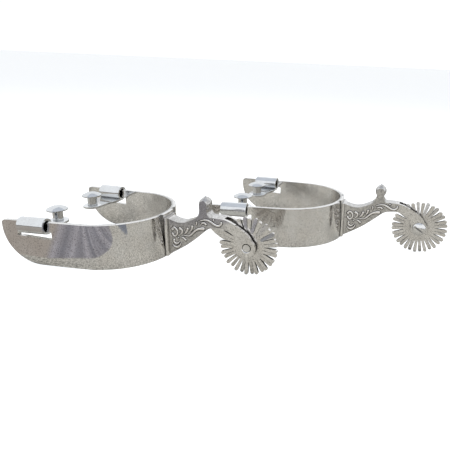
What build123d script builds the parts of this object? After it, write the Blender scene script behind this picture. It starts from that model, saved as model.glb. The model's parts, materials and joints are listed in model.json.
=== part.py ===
"""A pair of western spurs: heel bands with swinging button hangers, shanks with
chap guards and scrollwork, and star rowels on slotted screws.  Millimetres.

Each spur is built in its own frame: x runs rearward from the centre of the heel
curve to the rowel, y across the boot, z up from the lower edge of the band.
Both spurs are then tilted onto their points of rest and set side by side."""
from build123d import *
from math import cos, radians, sin, sqrt
import os

os.makedirs("parts", exist_ok=True)

# ---- heel band --------------------------------------------------------------
BAND_T = 3.0            # plate thickness
BAND_H = 28.8           # height of the band
HEEL_R = 42.5           # outer radius of the heel curve
HEEL_X = -1.2           # centre of the heel curve, along the spur
FLARE = 4.5             # outward flare of each arm, degrees
TIP_X = -54.4           # foremost point of the arms
TIP_A = 26.4            # tip ellipse, half length
TIP_B = 24.2            # tip ellipse, half height
TIP_R = 2.6             # rounding of the upper front corner
TIP_SPARE = 6.0         # plan line drawn past the tip and trimmed by the side outline
HOLLOW_Y = 7.2          # recess beside the shank, from the centre plane
HOLLOW_W = 4.6
HOLLOW_LOW = 2.0        # its pointed lower end
HOLLOW_FLOOR = 39.1     # how far back its flat floor is

# ---- slot and hinge bar near the front of each arm --------------------------
SLOT_FRONT = -43.4      # slot ends, along the spur
SLOT_REAR = -18.4
SLOT_LOW = (19.1, 17.5) # lower edge of the slot, at its front and rear ends
BAR_H = 5.8             # bar left above the slot

# ---- swinging button hangers ------------------------------------------------
BARREL_X = -31.4        # middle of the barrel, along the spur
BARREL_L = 19.0
BARREL_R = 5.2
BARREL_BORE = 3.7
AXIS_Z = BAND_H - BAR_H / 2
PLATE_T = 1.6
PLATE_DROP = 0.25       # plate underside below the barrel's underside
REACH = 24.4            # barrel axis to button
PLATE_END_R = 7.0
PLATE_ROOT = 6.5        # straight sided this far from the axis
PLATE_WAIST = 13.5      # where the sides reach the width of the round end

# ---- strap buttons ----------------------------------------------------------
HEAD_D = 14.3
STEM_D = 7.0
TAIL_D = 5.0
STEM_H = 7.0            # plate to the underside of the head
RIM_H = 0.7
DOME_H = 2.3
STEM_FLARE = 0.8        # neck under the head, height and extra radius
RIVET_FLARE = (0.8, 1.3)    # tail under the plate, extra radius below and at the plate
RIVET_H = 0.7

# ---- shank, fork and chap guard ---------------------------------------------
SHANK_T = 9.5
PIN_X = 95.9
PIN_Z = 11.3
LEAF_R = 5.7            # round end of each fork leaf
FORK_GAP = 5.0
FORK_START = 81.0
GUARD_X = 67.5
GUARD_TOP = 41.0
GUARD_BALL = (3.9, 6.2, 4.5)    # half sizes of the head, cut flat at the shank's faces
GUARD_POINT = (1.6, 0.35, 1.4)  # point on the head: radius below, radius above, height
BEAD_R = 1.3            # upright rounded rib of the collar, where the shank meets the band
COLLAR_X = 41.4
COLLAR_Y = 6.2          # middle of each rib, from the centre plane
COLLAR_Z = (0.5, 26.5)  # lower and upper end

# ---- rowel and its screw ----------------------------------------------------
ROWEL_R = 19.0
ROOT_R = 10.5
POINTS = 32
TOOTH_W = (1.7, 2.45)   # at the root, near the tip
TOOTH_EMBED = 1.2       # each point starts this far inside the disc
ROWEL_T = 2.0
SET_ANGLE = 7.5         # alternate points lean this far to each side, degrees
PIN_R = 2.4
PIN_FIT = 0.05
COUNTERSINK = 0.75      # mouth of the pin hole, each side
SCREW_HEAD_D = 9.2
SCREW_HEAD_H = 2.3
SCREW_RIM_H = 0.7       # straight edge under the domed top
SCREW_SLOT = (1.1, 1.1)     # width, depth
SLOT_TURN = -35         # lean of the slot, degrees

# ---- scrollwork -------------------------------------------------------------
SCROLL_W = 1.05         # width of the raised lines
SCROLL_H = 0.4          # height above the side face

# ---- the pair ---------------------------------------------------------------
STAGGER = 101.5         # right spur behind the left one
SPACING = 90.5          # between the two centre planes
CUT_HALF = 70.0         # cutters reach this far either side of a spur


def arm_y(x):
    """Distance of the arm's outer face from the centre plane."""
    a = radians(FLARE)
    return HEEL_R / cos(a) - (x - HEEL_X) * sin(a) / cos(a)


def plan_line(offset):
    """Half of the band's plan line, from the tip to the heel, moved inward."""
    a = radians(FLARE)
    r = HEEL_R - offset
    joint = (HEEL_X + r * sin(a), r * cos(a))
    front_x = TIP_X - TIP_SPARE
    front_y = joint[1] + (joint[0] - front_x) * sin(a) / cos(a)
    mid = (HEEL_X + r * cos(radians(45)), r * sin(radians(45)))
    return (front_x, front_y), joint, mid, (HEEL_X + r, 0)


def heel_band():
    edges = []
    for offset in (0, BAND_T):
        front, joint, mid, heel = plan_line(offset)
        for s in (1, -1):
            edges.append(Line((front[0], s * front[1]), (joint[0], s * joint[1])))
            edges.append(ThreePointArc((joint[0], s * joint[1]), (mid[0], s * mid[1]), heel))
    outer = plan_line(0)[0]
    inner = plan_line(BAND_T)[0]
    for s in (1, -1):
        edges.append(Line((outer[0], s * outer[1]), (inner[0], s * inner[1])))
    band = extrude(make_face(edges), BAND_H)
    band = (band & side_view()) - slots()
    for side in (1, -1):
        band -= hollow(side)
    return band


def hollow(side):
    """Recess ground into the band beside the shank, wide at the top, a point below."""
    near, wide = side * HOLLOW_Y, side * (HOLLOW_Y + HOLLOW_W)
    outline = Polyline((near, HOLLOW_LOW), (wide, BAND_H + 1), (near, BAND_H + 1), close=True)
    return extrude(Plane.YZ.offset(HOLLOW_FLOOR) * make_face(outline), 6)


def side_view():
    """Side outline of the band: straight edges and a swept-up front."""
    centre_x = TIP_X + TIP_A
    low = Line((HEEL_R + 1, 0), (centre_x, 0))
    sweep = EllipticalCenterArc((centre_x, TIP_B), TIP_A, TIP_B, 180, arc_size=90)
    front = Line((TIP_X, TIP_B), (TIP_X, BAND_H - TIP_R))
    corner = RadiusArc((TIP_X, BAND_H - TIP_R), (TIP_X + TIP_R, BAND_H), TIP_R)
    top = Line((TIP_X + TIP_R, BAND_H), (HEEL_R + 1, BAND_H))
    rear = Line((HEEL_R + 1, BAND_H), (HEEL_R + 1, 0))
    face = Plane.XZ * make_face([low, sweep, front, corner, top, rear])
    return extrude(face, CUT_HALF, both=True)


def slots():
    """One slot through both arms; its lower edge falls toward the heel."""
    high = BAND_H - BAR_H
    front_low, rear_low = SLOT_LOW
    corners = [(SLOT_FRONT, front_low), (SLOT_REAR, rear_low), (SLOT_REAR, high), (SLOT_FRONT, high)]
    return extrude(Plane.XZ * make_face(Polyline(corners, close=True)), CUT_HALF, both=True)


def arm_frame(side):
    """Barrel centre on one arm: X forward along the arm, Y toward the boot."""
    y = side * (arm_y(BARREL_X) - BAND_T / 2 / cos(radians(FLARE)))
    turn = 180 - side * FLARE
    return Pos(BARREL_X, y, AXIS_Z) * Rot(0, 0, turn)


def hanger(side):
    """Sheet rolled round the bar, with a level plate that carries the button."""
    barrel = Rot(0, 90, 0) * (Cylinder(BARREL_R, BARREL_L) - Cylinder(BARREL_BORE, BARREL_L))
    half = BARREL_L / 2
    end = PLATE_END_R
    waist = end + 0.6
    right = Spline((half, PLATE_ROOT), (waist, PLATE_WAIST), (end, REACH), tangents=[(0, 1), (0, 1)])
    left = Spline((-half, PLATE_ROOT), (-waist, PLATE_WAIST), (-end, REACH), tangents=[(0, 1), (0, 1)])
    outline = [
        right,
        left,
        ThreePointArc((end, REACH), (0, REACH + end), (-end, REACH)),
        Line((-half, PLATE_ROOT), (-half, 0)),
        Line((-half, 0), (half, 0)),
        Line((half, 0), (half, PLATE_ROOT)),
    ]
    low = -BARREL_R - PLATE_DROP
    plate = Pos(0, 0, low) * extrude(make_face(outline), PLATE_T)
    plate -= Rot(0, 90, 0) * Cylinder(BARREL_BORE, BARREL_L + 2)
    plate -= Pos(0, REACH, low) * Cylinder(TAIL_D / 2, 10)
    solid = barrel + plate
    return arm_frame(side) * flip(side) * solid


def flip(side):
    """The arm frame's Y points at the boot on the +y arm and away on the other."""
    return Rot(0, 0, 0) if side > 0 else Rot(0, 0, 180)


def button(side):
    """Mushroom button riveted through the plate."""
    base = -BARREL_R - PLATE_DROP
    top = base + PLATE_T
    under = top + STEM_H
    rim = under + RIM_H
    r = HEAD_D / 2
    ball = (r * r + DOME_H * DOME_H) / (2 * DOME_H)
    solid = Pos(0, 0, (under + rim) / 2) * Cylinder(r, RIM_H)
    dome = Pos(0, 0, rim + DOME_H - ball) * Sphere(ball)
    solid += dome & Pos(0, 0, rim + DOME_H / 2) * Cylinder(r, DOME_H)
    solid += Pos(0, 0, (top + under) / 2) * Cylinder(STEM_D / 2, STEM_H)
    solid += Pos(0, 0, under - STEM_FLARE / 2) * Cone(STEM_D / 2, STEM_D / 2 + STEM_FLARE, STEM_FLARE)
    solid += Pos(0, 0, (top + base) / 2) * Cylinder(TAIL_D / 2, PLATE_T)
    below, at_plate = RIVET_FLARE
    solid += Pos(0, 0, base - RIVET_H / 2) * Cone(TAIL_D / 2 + below, TAIL_D / 2 + at_plate, RIVET_H)
    return arm_frame(side) * flip(side) * Pos(0, REACH, 0) * solid


def shank():
    """Side outline given its thickness, with collar, chap guard, fork and pin hole."""
    top = Spline((40.0, 26.8), (52.4, 23.8), (61.3, 27.2), (64.9, 33.4), tangents=[(1, -0.35), (0.08, 1)])
    post_front = Line((64.9, 33.4), (64.8, 37.0))
    post_top = Line((64.8, 37.0), (69.9, 37.0))
    post_back = Line((69.9, 37.0), (69.8, 33.2))
    saddle = Spline((69.8, 33.2), (70.5, 30.4), (72.8, 28.9), tangents=[(-0.03, -1), (1, -0.03)])
    back = Spline((72.8, 28.9), (82.3, 28.3), (93.2, 22.7), (99.4, 15.8), tangents=[(1, -0.03), (0.42, -1)])
    end = ThreePointArc((99.4, 15.8), (PIN_X, PIN_Z - LEAF_R), (90.3, 12.4))
    under = Spline((90.3, 12.4), (87.6, 18.6), (80.6, 22.4), (73.6, 22.2), tangents=[(-0.1, 1), (-1, -0.15)])
    belly = Spline((73.6, 22.2), (68.2, 19.2), (57.8, 10.6), (40.4, 0), tangents=[(-1, -0.15), (-1, -0.55)])
    root = Line((40.4, 0.0), (40.0, 26.8))
    outline = [top, post_front, post_top, post_back, saddle, back, end, under, belly, root]
    body = prism(outline, SHANK_T)
    body += chap_guard_head()
    body += collar()
    body -= Pos(HEEL_X, 0, BAND_H / 2) * Cylinder(HEEL_R, BAND_H * 2)
    body -= fork_slot()
    hole = Pos(PIN_X, 0, PIN_Z) * Rot(90, 0, 0)
    body -= hole * Cylinder(PIN_R + PIN_FIT, SHANK_T * 2)
    for side in (1, -1):
        mouth = Pos(0, 0, side * (SHANK_T / 2 - COUNTERSINK / 2))
        radii = (PIN_R, PIN_R + COUNTERSINK) if side > 0 else (PIN_R + COUNTERSINK, PIN_R)
        body -= hole * mouth * Cone(radii[0], radii[1], COUNTERSINK)
    return body


def prism(edges, width):
    """Extrude an outline drawn in x and z equally to both sides."""
    flat = []
    for edge in edges:
        flat += list(edge.edges())
    return extrude(Plane.XZ * make_face(flat), width / 2, both=True)


def chap_guard_head():
    """Pointed dome on the post above the shank, flat on the two side faces."""
    length, width, height = GUARD_BALL
    dome = Pos(GUARD_X, 0, GUARD_TOP - height) * scale(Sphere(1), GUARD_BALL)
    point = Pos(GUARD_X, 0, GUARD_TOP - 0.1) * Cone(*GUARD_POINT)
    return (dome + point) & Pos(GUARD_X, 0, GUARD_TOP - height) * Box(3 * length, SHANK_T, 3 * height)


def collar():
    """Upright rib on each side where the shank meets the band, joined across."""
    low, high = COLLAR_Z
    height = high - low
    middle = Pos(COLLAR_X, 0, (low + high) / 2)
    rib = middle * Box(2 * BEAD_R, 2 * COLLAR_Y, height)
    for side in (1, -1):
        rib += middle * Pos(0, side * COLLAR_Y, 0) * Cylinder(BEAD_R, height)
    return rib


def fork_slot():
    """Gap between the leaves, cut back round the sweep of the rowel."""
    open_part = Pos(FORK_START + 20, 0, 20) * Box(40, FORK_GAP, 60)
    sweep = Pos(PIN_X, 0, PIN_Z) * Rot(90, 0, 0) * Cylinder(ROWEL_R + 1.2, FORK_GAP)
    return open_part + sweep


def scroll_lines():
    """Centre lines of the raised scrolls on a side face, as x and z points."""
    return [
        [(45.4, 19.0), (46.7, 20.3), (48.5, 18.9), (49.0, 16.8), (48.0, 14.8), (46.5, 14.3), (45.3, 15.8)],
        [(46.2, 11.6), (46.2, 10.2), (47.7, 9.1), (49.2, 9.7), (50.3, 11.0)],
        [(45.3, 8.3), (46.7, 6.9), (48.5, 6.7), (50.3, 8.1), (51.4, 10.2)],
        [(50.9, 20.0), (52.5, 18.6), (52.0, 16.7), (50.5, 15.4)],
        [(56.4, 20.2), (55.6, 18.2), (54.0, 16.4)],
        [(59.8, 22.2), (59.4, 20.3), (58.2, 18.5)],
        [(62.8, 25.3), (62.9, 24.2), (62.4, 23.0)],
        [(53.2, 15.5), (56.9, 15.3), (58.9, 16.5), (60.9, 18.6), (63.0, 20.2), (65.3, 21.0), (67.8, 21.3)],
        [(51.5, 14.0), (53.4, 13.5), (54.7, 12.2)],
        [(65.7, 23.8), (66.8, 25.0), (68.3, 25.2), (69.3, 24.2)],
        [(64.8, 26.1), (67.8, 27.1), (70.5, 27.2), (73.0, 26.1), (75.3, 24.7), (77.8, 24.2), (79.5, 25.3)],
    ]


def scroll_dots():
    """Round ends and single dots, as x, z and radius."""
    return [
        (45.7, 18.9, 0.95),
        (45.4, 15.8, 0.84),
        (46.3, 11.5, 0.84),
        (51.0, 19.7, 0.95),
        (56.4, 20.1, 0.84),
        (59.8, 22.0, 0.78),
        (67.4, 21.3, 0.95),
        (54.6, 12.4, 0.78),
        (69.2, 24.4, 0.73),
        (79.8, 26.1, 0.84),
        (74.6, 27.7, 0.56),
        (49.7, 13.4, 0.5),
    ]


def scrollwork(side):
    """Raised scrolls on one side face of the shank."""
    faces = Sketch()
    for points in scroll_lines():
        faces += trace(Spline(points), SCROLL_W)
        for x, z in (points[0], points[-1]):
            faces += Pos(x, z) * Circle(SCROLL_W / 2)
    for x, z, r in scroll_dots():
        faces += Pos(x, z) * Circle(r)
    raised = extrude(faces, SCROLL_H)
    onto = Plane.XZ.offset(SHANK_T / 2) if side < 0 else Plane.XZ.offset(-SHANK_T / 2 - SCROLL_H)
    return onto * raised


def tooth():
    """One rowel point lying along +x in the plane of the disc."""
    half_root = TOOTH_W[0] / 2
    half_tip = TOOTH_W[1] / 2
    shoulder = ROWEL_R - half_tip
    start = ROOT_R - TOOTH_EMBED
    edges = [
        Line((start, -half_root), (shoulder, -half_tip)),
        ThreePointArc((shoulder, -half_tip), (ROWEL_R, 0), (shoulder, half_tip)),
        Line((shoulder, half_tip), (start, half_root)),
        Line((start, half_root), (start, -half_root)),
    ]
    return extrude(make_face(edges), ROWEL_T / 2, both=True)


def rowel(tilt):
    """Star rowel whose points lean to alternate sides, one of them straight down."""
    disc = Cylinder(ROOT_R, ROWEL_T)
    flat = tooth()
    lean = Pos(ROOT_R, 0, 0) * Rot(0, SET_ANGLE, 0) * Pos(-ROOT_R, 0, 0)
    other = Pos(ROOT_R, 0, 0) * Rot(0, -SET_ANGLE, 0) * Pos(-ROOT_R, 0, 0)
    points = []
    for i in range(POINTS):
        turn = Rot(0, 0, 360 * i / POINTS)
        points.append(turn * (lean if i % 2 else other) * flat)
    star = disc.fuse(*points) & Cylinder(ROWEL_R, 10)
    star -= Cylinder(PIN_R + PIN_FIT, 10)
    upright = Rot(90, 0, 0) * Rot(0, 0, -90)
    return Pos(PIN_X, 0, PIN_Z) * Rot(0, tilt, 0) * upright * star


def rowel_screw(side):
    """Slotted screw through both leaves; side is the side its head is on."""
    half = SHANK_T / 2
    shaft = Pos(0, 0, 0.15) * Cylinder(PIN_R, SHANK_T - 0.3)
    r = SCREW_HEAD_D / 2
    rim = half + SCREW_RIM_H
    top = half + SCREW_HEAD_H
    edges = [
        Line((0, half), (r, half)),
        Line((r, half), (r, rim)),
        ThreePointArc((r, rim), (r * 0.62, half + SCREW_HEAD_H * 0.86), (0, top)),
        Line((0, top), (0, half)),
    ]
    head = revolve(Plane.XZ * make_face(edges), Axis.Z)
    width, depth = SCREW_SLOT
    head -= Pos(0, 0, top) * Rot(0, 0, SLOT_TURN) * Box(2 * SCREW_HEAD_D, width, 2 * depth)
    across = Rot(90, 0, 0) if side < 0 else Rot(-90, 0, 0)
    return Pos(PIN_X, 0, PIN_Z) * across * (shaft + head)


def tip_low(tilt):
    """Lowest point of the band's front sweep when the spur is tilted."""
    t = radians(tilt)
    return (TIP_X + TIP_A) * sin(t) + TIP_B * cos(t) - sqrt((TIP_A * sin(t)) ** 2 + (TIP_B * cos(t)) ** 2)


def rowel_low(tilt):
    t = radians(tilt)
    return PIN_X * sin(t) + PIN_Z * cos(t) - ROWEL_R


def rest_tilt():
    """Tilt that puts the band's sweep and the rowel on one level surface."""
    low, high = 0.0, 10.0
    for _ in range(50):
        mid = (low + high) / 2
        if rowel_low(mid) < tip_low(mid):
            low = mid
        else:
            high = mid
    return (low + high) / 2


def build_pair():
    tilt = rest_tilt()
    set_down = Pos(0, 0, -tip_low(tilt)) * Rot(0, -tilt, 0)
    band = heel_band()
    fork = shank()
    one = set_down * band
    star = set_down * rowel(tilt)
    low_x = one.bounding_box().min.X
    high_x = star.bounding_box().max.X
    middle = (low_x + high_x) / 2
    nodes = {}
    for name, sign in (("left", -1), ("right", 1)):
        place = Pos(sign * STAGGER / 2 - middle, sign * SPACING / 2, 0) * set_down
        outer, inner = sign, -sign
        nodes[name + "_heel_band"] = place * band
        nodes[name + "_shank"] = place * fork
        nodes[name + "_rowel"] = place * rowel(tilt)
        nodes[name + "_rowel_screw"] = place * rowel_screw(inner)
        for label, side in (("outer", outer), ("inner", inner)):
            nodes[name + "_" + label + "_hanger"] = place * hanger(side)
            nodes[name + "_" + label + "_button"] = place * button(side)
            nodes[name + "_" + label + "_scrollwork"] = place * scrollwork(side)
    return nodes


for node, solid in build_pair().items():
    solid.label = node
    export_step(solid, "parts/" + node + ".step")
    box = solid.bounding_box()
    print(node, round(solid.volume, 1), "solids", len(solid.solids()), box.min, box.max)
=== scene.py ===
import json
from math import atan2, cos, pi, radians, sin, tan

import bmesh
import bpy
from mathutils import Matrix, Vector


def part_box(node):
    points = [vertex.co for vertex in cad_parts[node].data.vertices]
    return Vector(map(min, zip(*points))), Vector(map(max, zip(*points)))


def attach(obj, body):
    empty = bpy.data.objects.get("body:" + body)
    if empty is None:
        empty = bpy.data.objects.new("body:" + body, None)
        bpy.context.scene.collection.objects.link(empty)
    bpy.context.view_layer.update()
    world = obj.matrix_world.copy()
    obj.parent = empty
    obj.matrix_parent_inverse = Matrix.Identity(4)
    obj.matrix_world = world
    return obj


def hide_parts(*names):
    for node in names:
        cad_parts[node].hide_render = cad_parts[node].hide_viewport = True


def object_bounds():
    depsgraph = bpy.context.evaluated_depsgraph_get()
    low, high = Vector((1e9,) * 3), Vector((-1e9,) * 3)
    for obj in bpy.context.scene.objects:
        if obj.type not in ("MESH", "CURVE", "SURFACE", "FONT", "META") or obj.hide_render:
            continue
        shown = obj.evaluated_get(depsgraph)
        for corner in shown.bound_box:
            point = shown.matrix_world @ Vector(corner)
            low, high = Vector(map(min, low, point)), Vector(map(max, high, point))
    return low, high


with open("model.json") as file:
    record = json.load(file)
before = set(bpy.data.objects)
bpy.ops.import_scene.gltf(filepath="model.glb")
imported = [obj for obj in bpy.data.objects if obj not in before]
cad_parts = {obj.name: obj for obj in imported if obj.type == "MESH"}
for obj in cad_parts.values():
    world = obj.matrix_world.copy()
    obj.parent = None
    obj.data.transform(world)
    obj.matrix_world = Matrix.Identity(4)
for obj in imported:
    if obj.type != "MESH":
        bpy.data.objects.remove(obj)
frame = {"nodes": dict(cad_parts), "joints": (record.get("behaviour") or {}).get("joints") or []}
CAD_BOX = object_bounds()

MM = 0.001
SPURS = ("left", "right")
SIDES = ("outer", "inner")

# ---- dimensions in the spur frame, the same as the frame's ---------------------------------------
PIN_X = 95.9 * MM               # rowel pin
PIN_Z = 11.3 * MM
HEEL_X = -1.2 * MM              # centre of the heel curve
FLARE = radians(4.5)            # outward flare of each arm

# ---- camera --------------------------------------------------------------------------------------
AZIMUTH = radians(19.91)
ELEVATION = radians(19.76)
ROLL = radians(2.45)
DISTANCE = 335.4 * MM           # camera to the middle of the pair
AIM_RIGHT = -16.4 * MM          # where the camera points, from the middle of the pair
AIM_UP = -8.05 * MM
LENS, SENSOR = 37.2, 36         # focal length and sensor width, in mm
NEAREST, FARTHEST = 0.01, 50    # the camera sees nothing nearer or farther

# ---- the steel's patterns ------------------------------------------------------------------------
# A noise is its scale, detail and roughness.  "Ends" are the two values that a fade runs between.
GRAIN_AND_REFLECTED_SPECKLE = (1150, 3, 0.65)         # pepper flecks: a fine grain, partly a painted reflection of speckled surroundings
FLECK_ENDS = (0.36, 0.48)
FLECK_SHADE = 0.45              # a fleck's colour, as a part of the dark steel's
FLECK_ROUGH = 0.15
FLECK_HEIGHT = -0.6
SMEAR = (620, 3, 0.6)           # duller smears
SMEAR_ENDS = (0.35, 0.65)
SMEAR_MOST = 0.5
CLOUD = (85, 3, 0.5)            # broad light and dark areas
CLOUD_ENDS = (0.3, 0.7)
CLOUD_ROUGH = (0.75, 1.35)      # times the steel's own roughness
HAIRLINE = (260, 3, 0.7)        # polishing lines
HAIR_STRETCH = (1.0, 1.0, 14.0) # the lines are this much finer along z
HAIR_ENDS = (0.3, 0.8)
HAIR_ROUGH = 0.04
HAIR_HEIGHT = 0.3
BUMP_STRENGTH = 0.2             # of the lines' and the flecks' heights
BUMP_DEPTH = 0.02 * MM
CORNER_REACH = 2.2 * MM         # how far the painted shade spreads from a corner
CORNER_RAYS = 8
CORNER_ENDS = (0.3, 0.9)        # ambient occlusion in a corner and in the open
DARKENED_TONE = 0.16              # colour of the painted shade in corners and of the other darkening, as a part of the dark steel's
DARKENED_ROUGH = 0.3

# ---- painted shade and darkening, as fades in the spur frame -------------------------------------
RECESS_NEAR = (6.7 * MM, 7.2 * MM)      # the recesses beside the shank, from the centre plane
RECESS_FAR = (11.3 * MM, 12.0 * MM)
RECESS_FRONT = (37.3 * MM, 38.3 * MM)   # the painted shade in them, rearward from the origin
RECESS_FLOOR = (39.18 * MM, 39.4 * MM)
RECESS_MOTTLE = (900, 2, 0.6)
RECESS_MOTTLE_ENDS = (0.4, 0.6)
RECESS_AMOUNT = (0.2, 0.6)
INNER_FACE = (40.3 * MM, 40.9 * MM)     # the band's inner face, from the heel curve's axis
# patchy painted shade on the band's inner face
INNER_SHADE_NOISE = (38, 3, 0.5)
INNER_SHADE_ENDS = (0.42, 0.6)
INNER_SHADE_MOST = 0.42
INNER_SHADE_RISE = (10 * MM, 27 * MM)       # the painted shade inside the band is stronger higher up
INNER_SHADE_LOW = 0.25
WALL_SHADE_RADIUS = (16.5 * MM, 18.6 * MM)    # the painted shade on the rowel's walls stops beyond this radius
WALL_ENDS = (0.5, 0.98)                 # the normal's y on the rowel's walls and flat faces
# strongest painted shade on the rowel's walls
WALL_SHADE_MOST = 0.95
SCROLL_DARK_START = (42.5 * MM, 44.5 * MM)    # the mottled darker grey over the scroll area
SCROLL_DARK_STOP = (76 * MM, 84 * MM)
SCROLL_DARK_NOISE = (700, 3, 0.6)
SCROLL_DARK_ENDS = (0.35, 0.65)
SCROLL_DARK_AMOUNT = (0.18, 0.5)

# ---- rounding of the frame's nodes, as bevel widths ----------------------------------------------
BAND_ROUND = 0.3 * MM
SHANK_ROUND = 0.45 * MM
ROWEL_ROUND = 0.14 * MM
SCREW_ROUND = 0.15 * MM
HANGER_ROUND = 0.22 * MM
BUTTON_ROUND = 0.2 * MM
WELD = 0.001 * MM               # vertices closer than this are one
SHARP = radians(28)             # edges over this angle stay sharp
BEVELLED = radians(32)          # edges over this angle are rounded

# ---- scrollwork sizes ----------------------------------------------------------------------------
# Each stroke: points in the spur frame in mm, then its half width at the start, middle and end.
STROKES = (
    (((45.3, 18.9), (46.7, 20.2), (48.4, 18.9), (49.0, 16.8), (48.0, 14.8), (46.5, 14.3),
      (45.3, 15.8)), (0.55, 0.55, 0.5)),
    (((46.2, 11.7), (46.2, 10.2), (47.7, 9.2), (49.2, 9.7), (50.4, 11.1)), (0.5, 0.55, 0.15)),
    (((45.2, 8.4), (46.7, 6.9), (48.5, 6.7), (50.3, 8.1), (51.5, 10.4)), (0.15, 0.65, 0.12)),
    (((51.0, 20.0), (52.5, 18.6), (52.0, 16.7), (50.3, 15.3)), (0.55, 0.6, 0.15)),
    (((56.4, 20.3), (55.6, 18.2), (53.8, 16.2)), (0.5, 0.6, 0.15)),
    (((59.8, 22.3), (59.4, 20.3), (58.0, 18.3)), (0.45, 0.55, 0.15)),
    (((62.8, 25.4), (62.9, 24.2), (62.3, 22.8)), (0.35, 0.45, 0.12)),
    (((53.0, 15.5), (56.9, 15.3), (58.9, 16.5), (60.9, 18.6), (63.0, 20.2), (65.3, 21.0),
      (67.8, 21.3)), (0.2, 0.5, 0.95)),
    (((51.3, 14.1), (53.4, 13.5), (54.7, 12.2)), (0.15, 0.45, 0.5)),
    (((65.6, 23.7), (66.8, 25.0), (68.3, 25.2), (69.3, 24.2)), (0.15, 0.45, 0.5)),
    (((64.6, 26.0), (67.8, 27.1), (70.5, 27.2), (73.0, 26.1), (75.3, 24.7), (77.8, 24.2),
      (79.5, 25.3), (79.8, 26.4)), (0.15, 0.6, 0.45)),
)
# Round ends and single dots: x, z and radius in mm, in the spur frame.
DOTS = (
    (45.5, 18.8, 0.85), (45.4, 15.7, 0.75), (46.3, 11.5, 0.75), (51.0, 19.7, 0.85),
    (56.4, 20.1, 0.75), (59.8, 22.0, 0.7), (62.8, 25.2, 0.45), (67.4, 21.3, 0.9),
    (54.6, 12.4, 0.7), (69.2, 24.4, 0.65), (79.8, 26.3, 0.65), (74.6, 27.8, 0.5),
    (49.7, 13.4, 0.45),
)
RELIEF = 0.42 * MM              # how far the scrolls stand off the face
SHADE_MARGIN_HEIGHT = 0.035 * MM             # height of the dark margin of painted shade round them
SHADE_MARGIN_WIDTH = 0.42 * MM            # and its width
FULLNESS = 1.18                 # widening of every stroke
SUNK = 0.06 * MM                # how deep the relief is set into the face
THINNEST = 0.12 * MM            # least half width of a stroke
FULL_HEIGHT_W = 0.5 * MM        # strokes with a smaller half width are lower
CROWN = 0.8                     # fullness of a stroke's rounded front
DOT_RISE = 1.1                  # a dot stands this much higher than a stroke
LINE_STEPS = 9                  # parts between two points of a stroke
RING_STEPS = 8                  # parts across a stroke's rounded front
DOT_AROUND, DOT_UP = 20, 5      # parts round a dot and up its side

# ---- what the steel reflects ---------------------------------------------------------------------
BEYOND = (                      # outline of the glowing cool grey patch just outside the left spur, seen only in reflections
    (-1.0, -1.0), (-0.010, -1.0), (-0.014, -0.200), (-0.019, -0.160), (-0.026, -0.143),
    (-0.036, -0.133), (-0.048, -0.125), (-0.060, -0.119), (-0.070, -0.1135), (-0.085, -0.1085),
    (-0.098, -0.104), (-0.11, -0.1005), (-1.0, -0.0995),
)
SLATE = (                       # outline of the dark patch that the left shank's upper half reflects
    (0.014, -0.175), (0.016, -0.132), (0.020, -0.126),
    (0.060, -0.160), (0.040, -0.260), (0.012, -0.260),
)
PAPER_HALF = 30.0               # half the width of the floor and of the stone
STONE_LIFT = 0.02 * MM          # each layer lies a little over the one before
BEYOND_LIFT = 0.05 * MM
SLATE_LIFT = 0.08 * MM
STONE_COARSE = (560, 3, 0.75)   # the stone's speckle, and its broad even areas
STONE_COARSE_ENDS = (0.38, 0.56)
STONE_BROAD = (30, 3, 0.5)
STONE_BROAD_ENDS = (0.3, 0.7)
STONE_BROAD_MOST = 0.4
STONE_DARK = (0.12, 0.115, 0.1, 1)
STONE_LIGHT = (0.5, 0.48, 0.43, 1)
STONE_MEAN = (0.33, 0.325, 0.305, 1)
STREAK = (75, 2, 0.5)           # the soft streaks beyond the stone's edge
STREAK_ENDS = (0.38, 0.62)
STREAK_SLANT = 0.45
COOL_DARK = (0.2, 0.2, 0.23, 1)
COOL_LIGHT = (0.4, 0.39, 0.425, 1)
BROWN = (0.4, 0.365, 0.33, 1)
BROWN_ENDS = (-69 * MM, -63 * MM)
SLATE_GREY = (0.14, 0.15, 0.175, 1)
DULL = 0.1                      # specular level of everything but the steel
SKY = (0.95, 0.975, 1.0, 1.0)
SKY_STRENGTH = 1.1
MIDDLE = (0, 0, 0.02)           # what the light and the ceiling face
LIGHT_POWER = 5.0
LIGHT_SIZE = (0.9, 0.7)
LIGHT_PLACE = (-0.1, 0.15, 0.75)
LIGHT_COLOUR = (0.97, 0.98, 1.0)
CEILING_HEIGHT = 1.0
CEILING_SIDE = 1.5
CEILING_GREY = (0.62, 0.645, 0.69, 1)
SKYLINE_CARDS = 24              # a ring of upright cards with a radius of one metre
SKYLINE_HEIGHT = 70 * MM
SKYLINE_OVERLAP = 1.1           # card width, times the gap between two cards


# ---- places --------------------------------------------------------------------------------------
def joint(name):
    """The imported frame's joint of that name."""
    return next(j for j in frame["joints"] if j["name"] == name)


def spur_matrix(spur):
    """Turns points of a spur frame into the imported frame's.  Both spurs have the same tilt."""
    pin = Vector(joint(spur + "_rowel_spin")["pos_m"])
    axis = joint("left_outer_hanger_swing")["axis"]
    tilt = atan2(axis[2], axis[0])
    turned = Matrix.Translation(pin) @ Matrix.Rotation(-tilt, 4, "Y")
    return turned @ Matrix.Translation((-PIN_X, 0, -PIN_Z))


def outward(spur, side):
    """+1 if that side of the spur faces +y, or else -1."""
    outer = -1 if spur == "left" else 1
    return outer if side == "outer" else -outer


# ---- new pieces ----------------------------------------------------------------------------------
def add_piece(name, mesh, material):
    """Makes a scene object of a finished bmesh."""
    data = bpy.data.meshes.new(name)
    mesh.to_mesh(data)
    mesh.free()
    data.materials.append(material)
    piece = bpy.data.objects.new(name, data)
    bpy.context.scene.collection.objects.link(piece)
    return piece


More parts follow.
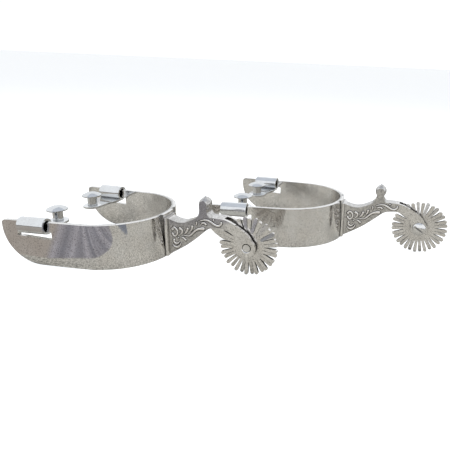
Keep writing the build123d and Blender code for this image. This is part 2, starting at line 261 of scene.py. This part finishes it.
def only_reflected(piece):
    """Leaves a piece of the stage to be seen in the steel alone."""
    piece.visible_camera = False
    piece.visible_diffuse = False
    piece.visible_shadow = False


# ---- colours and node helpers --------------------------------------------------------------------
def grey(value, warmth=0.0):
    """A light grey, warmer for a positive warmth and bluer for a negative one."""
    return (value * (1 + warmth), value, value * (1 - warmth), 1.0)


def shade(colour, factor):
    """A darker version of a colour."""
    return tuple(c * factor for c in colour[:3]) + (1.0,)


class Graph:
    """A material's node tree, with short calls for the nodes used here."""

    def __init__(self, name):
        self.material = bpy.data.materials.new(name)
        self.material.use_nodes = True
        self.tree = self.material.node_tree
        self.shader = self.tree.nodes["Principled BSDF"]
        self.place = self.add("ShaderNodeTexCoord").outputs["Object"]

    def add(self, kind, **settings):
        node = self.tree.nodes.new(kind)
        for key, value in settings.items():
            setattr(node, key, value)
        return node

    def link(self, source, target):
        self.tree.links.new(source, target)

    def plug(self, value, socket):
        """Links a socket, or sets its value if there is nothing to link."""
        if hasattr(value, "is_output"):
            self.link(value, socket)
        else:
            socket.default_value = value

    def math(self, operation, first, second=0.0, third=0.0):
        node = self.add("ShaderNodeMath", operation=operation)
        for value, socket in zip((first, second, third), node.inputs):
            self.plug(value, socket)
        return node.outputs[0]

    def length(self, first, second):
        """The length of a line with these two sides."""
        squares = self.math("MULTIPLY_ADD", first, first, self.math("MULTIPLY", second, second))
        return self.math("SQRT", squares)

    def noise(self, field, stretch=None, place=None):
        """A noise of that scale, detail and roughness."""
        vector = place or self.place
        if stretch:
            mapping = self.add("ShaderNodeMapping")
            mapping.inputs["Scale"].default_value = stretch
            self.link(vector, mapping.inputs["Vector"])
            vector = mapping.outputs[0]
        node = self.add("ShaderNodeTexNoise")
        for key, value in zip(("Scale", "Detail", "Roughness"), field):
            node.inputs[key].default_value = value
        self.link(vector, node.inputs["Vector"])
        return node.outputs["Fac"]

    def fade(self, value, ends, out=(0.0, 1.0)):
        """A smooth change from the first to the second of out, between the two ends."""
        node = self.add("ShaderNodeMapRange", interpolation_type="SMOOTHSTEP")
        keys = ("Value", "From Min", "From Max", "To Min", "To Max")
        for key, given in zip(keys, (value, *ends, *out)):
            self.plug(given, node.inputs[key])
        return node.outputs["Result"]

    def band(self, value, start, stop):
        """1 from the start's ends to the stop's, and 0 outside them."""
        return self.math("MULTIPLY", self.fade(value, start), self.fade(value, stop, (1.0, 0.0)))

    def mix(self, factor, first, second):
        node = self.add("ShaderNodeMix", data_type="RGBA")
        self.plug(factor, node.inputs[0])
        self.plug(first, node.inputs[6])
        self.plug(second, node.inputs[7])
        return node.outputs[2]

    def split(self, vector):
        """The x, y and z of a vector."""
        node = self.add("ShaderNodeSeparateXYZ")
        self.link(vector, node.inputs[0])
        return node.outputs

    def spur_place(self, spur):
        """x, y and z in the spur frame."""
        inverse = spur_matrix(spur).inverted()
        mapping = self.add("ShaderNodeMapping")
        mapping.inputs["Location"].default_value = inverse.to_translation()
        mapping.inputs["Rotation"].default_value = inverse.to_euler()
        self.link(self.place, mapping.inputs["Vector"])
        return self.split(mapping.outputs[0])


# ---- steel ---------------------------------------------------------------------------------------
def steel(name, light, dark, rough, speckle, corner_shade=0.85, reach=CORNER_REACH, darken_mask=None):
    """Polished stainless steel: peppered grain that is partly a painted reflection, cloudy sheen,
    hairlines and painted shade in the corners.

    speckle sets the strength of the flecks, and the argument after it that of the painted shade in
    the corners.  The last argument is a function of the graph that gives a factor from 0 to 1, where
    1 is fully darkened metal; on the band and the rowel this is painted shade."""
    graph = Graph(name)
    # dark flecks: a fine grain, partly a painted reflection of speckled surroundings
    pepper = graph.fade(graph.noise(GRAIN_AND_REFLECTED_SPECKLE), FLECK_ENDS, (1.0, 0.0))
    flecks = graph.math("MULTIPLY", pepper, speckle)
    cloud = graph.noise(CLOUD)
    base = graph.mix(graph.fade(cloud, CLOUD_ENDS), light, dark)
    soft = graph.mix(graph.fade(graph.noise(SMEAR), SMEAR_ENDS, (0.0, SMEAR_MOST)), base, dark)
    colour = graph.mix(flecks, soft, shade(dark, FLECK_SHADE))
    # painted shade: ambient occlusion darkens the colour in corners, gaps and recesses
    corner = graph.add("ShaderNodeAmbientOcclusion", samples=CORNER_RAYS)
    corner.inputs["Distance"].default_value = reach
    painted_darkening = graph.fade(corner.outputs["AO"], CORNER_ENDS, (corner_shade, 0.0))
    if darken_mask:
        painted_darkening = graph.math("MAXIMUM", painted_darkening, darken_mask(graph))
    colour = graph.mix(painted_darkening, colour, shade(dark, DARKENED_TONE))
    graph.link(colour, graph.shader.inputs["Base Color"])
    graph.shader.inputs["Metallic"].default_value = 1.0
    hair = graph.noise(HAIRLINE, stretch=HAIR_STRETCH)
    sheen = graph.math("ADD", graph.fade(cloud, CLOUD_ENDS, [rough * part for part in CLOUD_ROUGH]),
                       graph.fade(hair, HAIR_ENDS, (0.0, HAIR_ROUGH)))
    flecked = graph.math("MULTIPLY_ADD", flecks, FLECK_ROUGH, sheen)
    roughness = graph.math("MULTIPLY_ADD", painted_darkening, DARKENED_ROUGH, flecked)
    graph.link(roughness, graph.shader.inputs["Roughness"])
    pits = graph.math("MULTIPLY", pepper, FLECK_HEIGHT)
    height = graph.math("MULTIPLY_ADD", hair, HAIR_HEIGHT, pits)
    bump = graph.add("ShaderNodeBump")
    bump.inputs["Strength"].default_value = BUMP_STRENGTH
    bump.inputs["Distance"].default_value = BUMP_DEPTH
    graph.link(height, bump.inputs["Height"])
    graph.link(bump.outputs[0], graph.shader.inputs["Normal"])
    return graph.material


def band_painted_shade(spur):
    """Painted shade in the recesses beside the shank, and patchy painted shade inside the band."""
    def darken_mask(graph):
        x, y, z = graph.spur_place(spur)
        across = graph.math("ABSOLUTE", y)
        # painted shade in the recesses beside the shank
        sides = graph.band(across, RECESS_NEAR, RECESS_FAR)
        sunk = graph.band(x, RECESS_FRONT, RECESS_FLOOR)
        mottle = graph.fade(graph.noise(RECESS_MOTTLE), RECESS_MOTTLE_ENDS, RECESS_AMOUNT)
        recess = graph.math("MULTIPLY", graph.math("MULTIPLY", sides, sunk), mottle)
        # patchy painted shade on the band's inner face, darker towards the top
        back = graph.math("SUBTRACT", x, HEEL_X)
        curve = graph.math("MAXIMUM", back, 0.0)
        arm = graph.math("MULTIPLY_ADD", graph.math("MINIMUM", back, 0.0), tan(FLARE), across)
        away = graph.length(curve, arm)
        inside = graph.fade(away, INNER_FACE, (1.0, 0.0))
        patch = graph.fade(graph.noise(INNER_SHADE_NOISE), INNER_SHADE_ENDS, (0.0, INNER_SHADE_MOST))
        upper = graph.fade(z, INNER_SHADE_RISE, (INNER_SHADE_LOW, 1.0))
        inner_shade = graph.math("MULTIPLY", inside, graph.math("MULTIPLY", patch, upper))
        return graph.math("MAXIMUM", recess, inner_shade)
    return darken_mask


def rowel_painted_shade(spur):
    """Painted shade on the walls between the points; it stops short of their outer ends, which stay
    undarkened.
    """
    def darken_mask(graph):
        place = graph.spur_place(spur)
        along = graph.math("SUBTRACT", place["X"], PIN_X)
        high = graph.math("SUBTRACT", place["Z"], PIN_Z)
        # painted shade on the walls between the points, stopping short of their outer ends
        inside_tips = graph.fade(graph.length(along, high), WALL_SHADE_RADIUS, (1.0, 0.0))
        normal = graph.split(graph.add("ShaderNodeNewGeometry").outputs["Normal"])
        wall = graph.fade(graph.math("ABSOLUTE", normal["Y"]), WALL_ENDS, (WALL_SHADE_MOST, 0.0))
        return graph.math("MULTIPLY", wall, inside_tips)
    return darken_mask


def scroll_area_darkening(spur):
    """A mottled darker grey over the part of the shank face that carries the scrolls."""
    def darken_mask(graph):
        x = graph.spur_place(spur)["X"]
        # a mottled darker grey over the scroll area
        mottle = graph.fade(graph.noise(SCROLL_DARK_NOISE), SCROLL_DARK_ENDS, SCROLL_DARK_AMOUNT)
        return graph.math("MULTIPLY", graph.band(x, SCROLL_DARK_START, SCROLL_DARK_STOP), mottle)
    return darken_mask


# ---- smoothing, rounding and steel for the frame's nodes -----------------------------------------
def smooth_by_angle():
    """Geometry nodes that weld a mesh, smooth it and keep its sharp edges."""
    group = bpy.data.node_groups.new("smooth_by_angle", "GeometryNodeTree")
    group.interface.new_socket("Geometry", in_out="INPUT", socket_type="NodeSocketGeometry")
    group.interface.new_socket("Geometry", in_out="OUTPUT", socket_type="NodeSocketGeometry")
    nodes, links = group.nodes, group.links
    start = nodes.new("NodeGroupInput")
    end = nodes.new("NodeGroupOutput")
    weld = nodes.new("GeometryNodeMergeByDistance")
    weld.inputs["Distance"].default_value = WELD
    faces = nodes.new("GeometryNodeSetShadeSmooth")
    faces.domain = "FACE"
    edges = nodes.new("GeometryNodeSetShadeSmooth")
    edges.domain = "EDGE"
    angle = nodes.new("GeometryNodeInputMeshEdgeAngle")
    flat = nodes.new("FunctionNodeCompare")
    flat.data_type = "FLOAT"
    flat.operation = "LESS_THAN"
    flat.inputs[1].default_value = SHARP
    links.new(start.outputs[0], weld.inputs["Geometry"])
    links.new(weld.outputs[0], faces.inputs["Geometry"])
    links.new(faces.outputs[0], edges.inputs["Geometry"])
    links.new(angle.outputs["Unsigned Angle"], flat.inputs[0])
    links.new(flat.outputs[0], edges.inputs["Shade Smooth"])
    links.new(edges.outputs[0], end.inputs[0])
    return group


def round_edges(piece, width, group):
    """Welds a node's mesh, rounds its sharp edges and evens out its normals."""
    smooth = piece.modifiers.new("smooth", "NODES")
    smooth.node_group = group
    bevel = piece.modifiers.new("round", "BEVEL")
    bevel.width = width
    bevel.segments = 3
    bevel.limit_method = "ANGLE"
    bevel.angle_limit = BEVELLED
    bevel.use_clamp_overlap = True
    bevel.harden_normals = True
    normals = piece.modifiers.new("normals", "WEIGHTED_NORMAL")
    normals.keep_sharp = True
    normals.weight = 60


def dress_nodes():
    """Gives every frame node its rounding and its steel."""
    group = smooth_by_angle()
    hanger = steel("hanger_steel", light=grey(0.78, -0.015), dark=grey(0.7, -0.01),
                   rough=0.05, speckle=0.15, corner_shade=0.35)
    button = steel("button_steel", light=grey(0.74, -0.015), dark=grey(0.66, -0.015),
                   rough=0.07, speckle=0.08, corner_shade=0.8)
    screw = steel("screw_steel", light=grey(0.84), dark=grey(0.72, 0.02), rough=0.07, speckle=0.15)
    for spur in SPURS:
        band = steel(spur + "_band_steel", light=grey(0.8, 0.01), dark=grey(0.7, 0.03),
                     rough=0.045, speckle=0.6, darken_mask=band_painted_shade(spur))
        shank = steel(spur + "_shank_steel", light=grey(0.85, 0.02), dark=grey(0.73, 0.03),
                      rough=0.09, speckle=0.6, darken_mask=scroll_area_darkening(spur))
        rowel = steel(spur + "_rowel_steel", light=grey(0.86, 0.02), dark=grey(0.7, 0.04),
                      rough=0.14, speckle=0.7, corner_shade=0.95, reach=3.0 * MM, darken_mask=rowel_painted_shade(spur))
        looks = {
            "heel_band": (BAND_ROUND, band),
            "shank": (SHANK_ROUND, shank),
            "rowel": (ROWEL_ROUND, rowel),
            "rowel_screw": (SCREW_ROUND, screw),
        }
        for side in SIDES:
            looks[side + "_hanger"] = (HANGER_ROUND, hanger)
            looks[side + "_button"] = (BUTTON_ROUND, button)
        for name, (width, material) in looks.items():
            piece = frame["nodes"][spur + "_" + name]
            piece.data.materials.clear()
            piece.data.materials.append(material)
            piece.visible_diffuse = False       # no bright arcs on the floor
            round_edges(piece, width, group)


# ---- scrollwork ----------------------------------------------------------------------------------
class Relief:
    """The mesh of the scrolls on one side face, or of the dark margin of painted shade that they
    stand in.
    """

    def __init__(self, spur, side, raised):
        low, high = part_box(spur + "_" + side + "_scrollwork")
        self.matrix = spur_matrix(spur)
        self.out = outward(spur, side)
        self.face_y = (low.y if self.out > 0 else high.y) - self.matrix.translation.y
        self.raised = raised
        self.grow, self.height = (0.0, RELIEF) if raised else (SHADE_MARGIN_WIDTH, SHADE_MARGIN_HEIGHT)
        self.mesh = bmesh.new()
        for points, widths in STROKES:
            self.add_stroke(points, widths)
        for x, z, radius in DOTS:
            self.add_dot(x * MM, z * MM, radius * FULLNESS * MM + self.grow)
        bmesh.ops.recalc_face_normals(self.mesh, faces=self.mesh.faces)
        for face in self.mesh.faces:
            face.smooth = True

    def vertex(self, x, z, height):
        """A vertex at that place on the side face and that height over it."""
        return self.mesh.verts.new(self.matrix @ Vector((x, self.face_y + self.out * height, z)))

    def bridge(self, rings):
        """Faces between each ring of vertices and the next."""
        for a, b in zip(rings, rings[1:]):
            for k in range(len(a)):
                n = (k + 1) % len(a)
                self.mesh.faces.new((a[k], a[n], b[n], b[k]))

    def add_stroke(self, points, widths):
        """One stroke: rings with a flat back set into the face and a rounded front."""
        line = curve_points([(x * MM, z * MM) for x, z in points])
        rings = []
        for i, spot in enumerate(line):
            along = (line[min(i + 1, len(line) - 1)] - line[max(i - 1, 0)]).normalized()
            across = Vector((-along.y, along.x))
            width = half_width(i / (len(line) - 1), widths) * FULLNESS * MM + self.grow
            height = self.height
            if self.raised:
                width = max(width, THINNEST)
                height *= min(1.0, width / FULL_HEIGHT_W)
            turns = [pi * k / RING_STEPS for k in range(RING_STEPS + 1)]
            section = [(-cos(turn) * width, sin(turn) ** CROWN * height) for turn in turns]
            section += [(width, -SUNK), (-width, -SUNK)]
            places = [(spot + across * u, h) for u, h in section]
            rings.append([self.vertex(place.x, place.y, h) for place, h in places])
        self.bridge(rings)
        self.mesh.faces.new(rings[0])
        self.mesh.faces.new(list(reversed(rings[-1])))

    def add_dot(self, x, z, radius):
        """A low dome with a short skirt set into the face."""
        height = self.height * (DOT_RISE if self.raised else 1.0)
        rises = [pi / 2 * k / DOT_UP for k in range(DOT_UP)]
        turns = [2 * pi * k / DOT_AROUND for k in range(DOT_AROUND)]
        rows = [(radius, -SUNK)]
        rows += [(radius * cos(rise), height * sin(rise)) for rise in rises]
        rings = []
        for r, h in rows:
            rings.append([self.vertex(x + r * cos(turn), z + r * sin(turn), h) for turn in turns])
        self.bridge(rings)
        top = self.vertex(x, z, height)
        for k in range(DOT_AROUND):
            self.mesh.faces.new((rings[-1][k], rings[-1][(k + 1) % DOT_AROUND], top))
        self.mesh.faces.new(list(reversed(rings[0])))


def curve_points(points):
    """A smooth line through the points (Catmull-Rom)."""
    knots = [Vector(p) for p in points]
    knots = [knots[0] * 2 - knots[1]] + knots + [knots[-1] * 2 - knots[-2]]
    line = []
    for i in range(1, len(knots) - 2):
        a, b, c, d = knots[i - 1:i + 3]
        for k in range(LINE_STEPS):
            t = k / LINE_STEPS
            line.append(0.5 * (2 * b + (c - a) * t + (2 * a - 5 * b + 4 * c - d) * t * t
                               + (3 * b - a - 3 * c + d) * t ** 3))
    line.append(knots[-2])
    return line


def half_width(t, widths):
    """Smooth change from the start's half width through the middle's to the end's."""
    start, middle, end = widths
    if t < 0.5:
        return start + (middle - start) * sin(t * pi)
    return end + (middle - end) * sin(t * pi)


def scroll_piece(spur, side, raised, material):
    """The raised scrolls of one side face, or the dark margin of painted shade round them."""
    name = spur + "_" + side + ("_scrolls" if raised else "_scroll_margin")
    piece = add_piece(name, Relief(spur, side, raised).mesh, material)
    piece.visible_diffuse = False
    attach(piece, "pair")
    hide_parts(spur + "_" + side + "_scrollwork")


def dress_scrolls():
    """Puts the scrolls and their dark margins of painted shade on both sides of both shanks."""
    bright = steel("scroll_steel", light=grey(0.92, 0.02), dark=grey(0.84, 0.05),
                   rough=0.3, speckle=0.1)
    # the dark margin round each scroll is painted shade where the raised scrolls meet the face
    margin_shade = steel("margin_shade_steel", light=grey(0.12, 0.04), dark=grey(0.07, 0.05),
                     rough=0.35, speckle=0.5)
    for spur in SPURS:
        for side in SIDES:
            scroll_piece(spur, side, True, bright)
            scroll_piece(spur, side, False, margin_shade)


# ---- stage ---------------------------------------------------------------------------------------
def flat_material(name, colour):
    """A dull material of one colour, for the stage alone."""
    material = bpy.data.materials.new(name)
    material.use_nodes = True
    shader = material.node_tree.nodes["Principled BSDF"]
    shader.inputs["Base Color"].default_value = colour
    shader.inputs["Roughness"].default_value = 0.9
    shader.inputs["Specular IOR Level"].default_value = DULL
    return material


def stone_material():
    """The speckled warm grey stone that the lower faces of the steel reflect."""
    graph = Graph("speckled_stone")
    coarse = graph.fade(graph.noise(STONE_COARSE), STONE_COARSE_ENDS)
    broad = graph.fade(graph.noise(STONE_BROAD), STONE_BROAD_ENDS, (0.0, STONE_BROAD_MOST))
    colour = graph.mix(coarse, STONE_DARK, STONE_LIGHT)
    graph.link(graph.mix(broad, colour, STONE_MEAN), graph.shader.inputs["Base Color"])
    graph.shader.inputs["Roughness"].default_value = 0.95
    graph.shader.inputs["Specular IOR Level"].default_value = DULL
    return graph.material


def beyond_material():
    """Cool grey in soft streaks, brown at one end, glowing rather than lit: a painted reflection of
    what lies beyond the stone's edge.
    """
    graph = Graph("beyond_the_stone")
    place = graph.split(graph.place)
    along = graph.math("MULTIPLY_ADD", place["Y"], -STREAK_SLANT, place["X"])
    line = graph.add("ShaderNodeCombineXYZ")
    graph.link(along, line.inputs["X"])
    streak = graph.fade(graph.noise(STREAK, place=line.outputs[0]), STREAK_ENDS)
    cool = graph.mix(streak, COOL_DARK, COOL_LIGHT)
    colour = graph.mix(graph.fade(along, BROWN_ENDS), BROWN, cool)
    # the patch glows rather than being lit; only the steel's reflections see it
    graph.link(colour, graph.shader.inputs["Emission Color"])
    graph.shader.inputs["Emission Strength"].default_value = 1.0
    graph.shader.inputs["Base Color"].default_value = (0, 0, 0, 1)
    graph.shader.inputs["Roughness"].default_value = 1.0
    return graph.material


def flat_piece(name, outline, height, material):
    """A level patch with the given x and y outline."""
    mesh = bmesh.new()
    mesh.faces.new([mesh.verts.new((x, y, height)) for x, y in outline])
    piece = add_piece(name, mesh, material)
    return piece


def card(name, width, height, location, aim, material):
    """An upright or tilted rectangle that faces aim; only reflections see it."""
    mesh = bmesh.new()
    bmesh.ops.create_grid(mesh, x_segments=1, y_segments=1, size=0.5)
    piece = add_piece(name, mesh, material)
    piece.scale = (width, height, 1)
    piece.location = location
    piece.rotation_mode = "QUATERNION"
    piece.rotation_quaternion = (Vector(aim) - Vector(location)).to_track_quat("Z", "Y")
    only_reflected(piece)


def overhead_light():
    """One soft light that neither the camera nor the steel sees."""
    data = bpy.data.lights.new("overhead", "AREA")
    data.energy = LIGHT_POWER
    data.shape = "RECTANGLE"
    data.size, data.size_y = LIGHT_SIZE
    data.color = LIGHT_COLOUR
    light = bpy.data.objects.new("overhead", data)
    light.location = LIGHT_PLACE
    light.rotation_mode = "QUATERNION"
    light.rotation_quaternion = (Vector(LIGHT_PLACE) - Vector(MIDDLE)).to_track_quat("Z", "Y")
    light.visible_camera = False
    light.visible_glossy = False
    bpy.context.scene.collection.objects.link(light)


def set_stage():
    """A white floor for the camera; stone, its edge and a dim skyline for the reflections."""
    ground = CAD_BOX[0].z
    paper = [(x * PAPER_HALF, y * PAPER_HALF) for x, y in ((-1, -1), (1, -1), (1, 1), (-1, 1))]
    floor = flat_piece("floor", paper, ground, flat_material("floor_paper", grey(0.93)))
    floor.visible_glossy = False
    only_reflected(flat_piece("stone", paper, ground + STONE_LIFT, stone_material()))
    only_reflected(flat_piece("beyond_stone", BEYOND, ground + BEYOND_LIFT, beyond_material()))
    slate = flat_material("slate_grey", SLATE_GREY)
    only_reflected(flat_piece("slate_strip", SLATE, ground + SLATE_LIFT, slate))

    world = bpy.data.worlds.new("studio")
    world.use_nodes = True
    world.node_tree.nodes["Background"].inputs["Color"].default_value = SKY
    world.node_tree.nodes["Background"].inputs["Strength"].default_value = SKY_STRENGTH
    bpy.context.scene.world = world
    overhead_light()

    ceiling = flat_material("ceiling_grey", CEILING_GREY)
    card("ceiling", CEILING_SIDE, CEILING_SIDE, (0, 0, CEILING_HEIGHT), MIDDLE, ceiling)
    dark = flat_material("skyline_grey", grey(0.05))
    for k in range(SKYLINE_CARDS):
        turn = 2 * pi * k / SKYLINE_CARDS
        width = SKYLINE_OVERLAP * 2 * pi / SKYLINE_CARDS
        height = SKYLINE_HEIGHT * (0.6 + 0.4 * sin(5 * turn) + 0.25 * sin(11 * turn + 1))
        place = (cos(turn), sin(turn), height / 2)
        card("skyline_%02d" % k, width, height, place, (0, 0, height / 2), dark)


def set_camera():
    """The photograph's viewing angle, with the slight roll of a hand-held camera."""
    back = Vector((sin(AZIMUTH) * cos(ELEVATION), -cos(AZIMUTH) * cos(ELEVATION), sin(ELEVATION)))
    right = Vector((cos(AZIMUTH), sin(AZIMUTH), 0))
    up = back.cross(right)
    middle = (CAD_BOX[0] + CAD_BOX[1]) / 2
    place = middle + back * DISTANCE + right * AIM_RIGHT + up * AIM_UP
    rolled_right = right * cos(ROLL) + up * sin(ROLL)
    rolled_up = up * cos(ROLL) - right * sin(ROLL)
    data = bpy.data.cameras.new("camera")
    data.lens = LENS
    data.sensor_width = SENSOR
    data.clip_start, data.clip_end = NEAREST, FARTHEST
    camera = bpy.data.objects.new("camera", data)
    turned = Matrix((rolled_right, rolled_up, back)).transposed().to_4x4()
    camera.matrix_world = Matrix.Translation(place) @ turned
    bpy.context.scene.collection.objects.link(camera)
    bpy.context.scene.camera = camera


set_camera()
set_stage()
dress_nodes()
dress_scrolls()

bpy.context.scene.view_settings.view_transform = "Standard"
